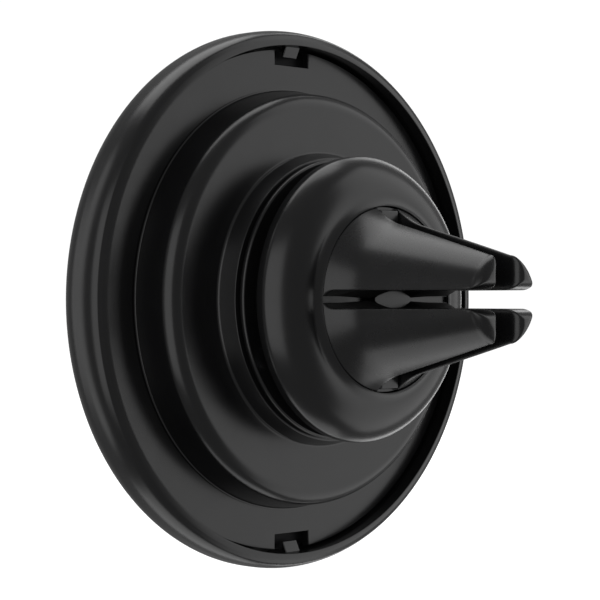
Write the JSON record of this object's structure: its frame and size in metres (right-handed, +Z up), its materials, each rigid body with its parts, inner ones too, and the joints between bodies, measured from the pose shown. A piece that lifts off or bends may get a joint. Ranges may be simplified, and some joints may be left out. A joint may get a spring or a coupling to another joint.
{
  "type": "car phone mount",
  "caption": "Magnetic phone holder disc on a ball joint, with a sprung-finger clip that grips an air vent vane.",
  "frame": {"origin": "centre of the phone face, on the front of the face pad", "axes": "+Y along the mount's axis from the phone face to the vent clip's finger tips, +Z up with the wide vane slot horizontal, +X completes the right-handed frame"},
  "size_m": [0.06, 0.0361, 0.06],
  "materials": {
    "satin_black": "satin moulded black plastic",
    "finger_black": "satin moulded black plastic, slightly softer gloss",
    "inner_black": "matt black moulding",
    "pad_rubber": "fine matt silicone",
    "grip_rubber": "matt black elastomer",
    "acetal": "natural white acetal",
    "nickel": "nickel plate on sintered magnet",
    "zinc_steel": "zinc-plated steel"
  },
  "bodies": {
    "clip": {"ball_stud": "zinc_steel", "stud_nut": "zinc_steel", "clip_body": "satin_black", "clip_back_plate": "inner_black", "clip_screw_1": "zinc_steel", "clip_screw_2": "zinc_steel", "clip_screw_3": "zinc_steel", "clip_hub": "satin_black"},
    "liner_tilt": {"rear_liner": "acetal"},
    "liner_pan": {"front_liner": "acetal"},
    "head": {"bezel_housing": "satin_black", "face_pad": "pad_rubber", "magnet_01": "nickel", "magnet_02": "nickel", "magnet_03": "nickel", "magnet_04": "nickel", "magnet_05": "nickel", "magnet_06": "nickel", "magnet_07": "nickel", "magnet_08": "nickel", "magnet_09": "nickel", "magnet_10": "nickel", "magnet_11": "nickel", "magnet_12": "nickel", "magnet_13": "nickel", "magnet_14": "nickel", "magnet_15": "nickel", "magnet_16": "nickel", "magnet_tray": "inner_black", "shunt_plate": "inner_black", "rear_cover": "satin_black", "socket_housing": "satin_black", "housing_screw_1": "zinc_steel", "housing_screw_2": "zinc_steel", "housing_screw_3": "zinc_steel", "housing_screw_4": "zinc_steel", "preload_spring": "zinc_steel", "ball_socket": "inner_black", "retaining_ring": "satin_black"},
    "finger_1": {"finger_1": "finger_black", "vane_pad_1": "grip_rubber"},
    "finger_2": {"finger_2": "finger_black", "vane_pad_2": "grip_rubber"},
    "finger_3": {"finger_3": "finger_black", "vane_pad_3": "grip_rubber"},
    "finger_4": {"finger_4": "finger_black", "vane_pad_4": "grip_rubber"}
  },
  "joints": [
    {"name": "ball_tilt", "type": "hinge", "parent": "clip", "child": "liner_tilt", "pos_m": [0, 0.009, 0], "axis": [1, 0, 0], "range_deg": [-4.5, 4.5]},
    {"name": "ball_pan", "type": "hinge", "parent": "liner_tilt", "child": "liner_pan", "pos_m": [0, 0.009, 0], "axis": [0, 0, 1], "range_deg": [-4.5, 4.5]},
    {"name": "ball_spin", "type": "hinge", "parent": "liner_pan", "child": "head", "pos_m": [0, 0.009, 0], "axis": [0, 1, 0], "continuous": true},
    {"name": "finger_1_flex", "type": "hinge", "parent": "clip", "child": "finger_1", "pos_m": [0.00424, 0.0186, 0.00424], "axis": [0.7071, 0, -0.7071], "range_deg": [0, 3.5], "stiffness_Nm_per_rad": 1.5},
    {"name": "finger_2_flex", "type": "hinge", "parent": "clip", "child": "finger_2", "pos_m": [-0.00424, 0.0186, 0.00424], "axis": [0.7071, 0, 0.7071], "range_deg": [0, 3.5], "stiffness_Nm_per_rad": 1.5},
    {"name": "finger_3_flex", "type": "hinge", "parent": "clip", "child": "finger_3", "pos_m": [-0.00424, 0.0186, -0.00424], "axis": [-0.7071, 0, 0.7071], "range_deg": [0, 3.5], "stiffness_Nm_per_rad": 1.5},
    {"name": "finger_4_flex", "type": "hinge", "parent": "clip", "child": "finger_4", "pos_m": [0.00424, 0.0186, -0.00424], "axis": [-0.7071, 0, -0.7071], "range_deg": [0, 3.5], "stiffness_Nm_per_rad": 1.5}
  ]
}
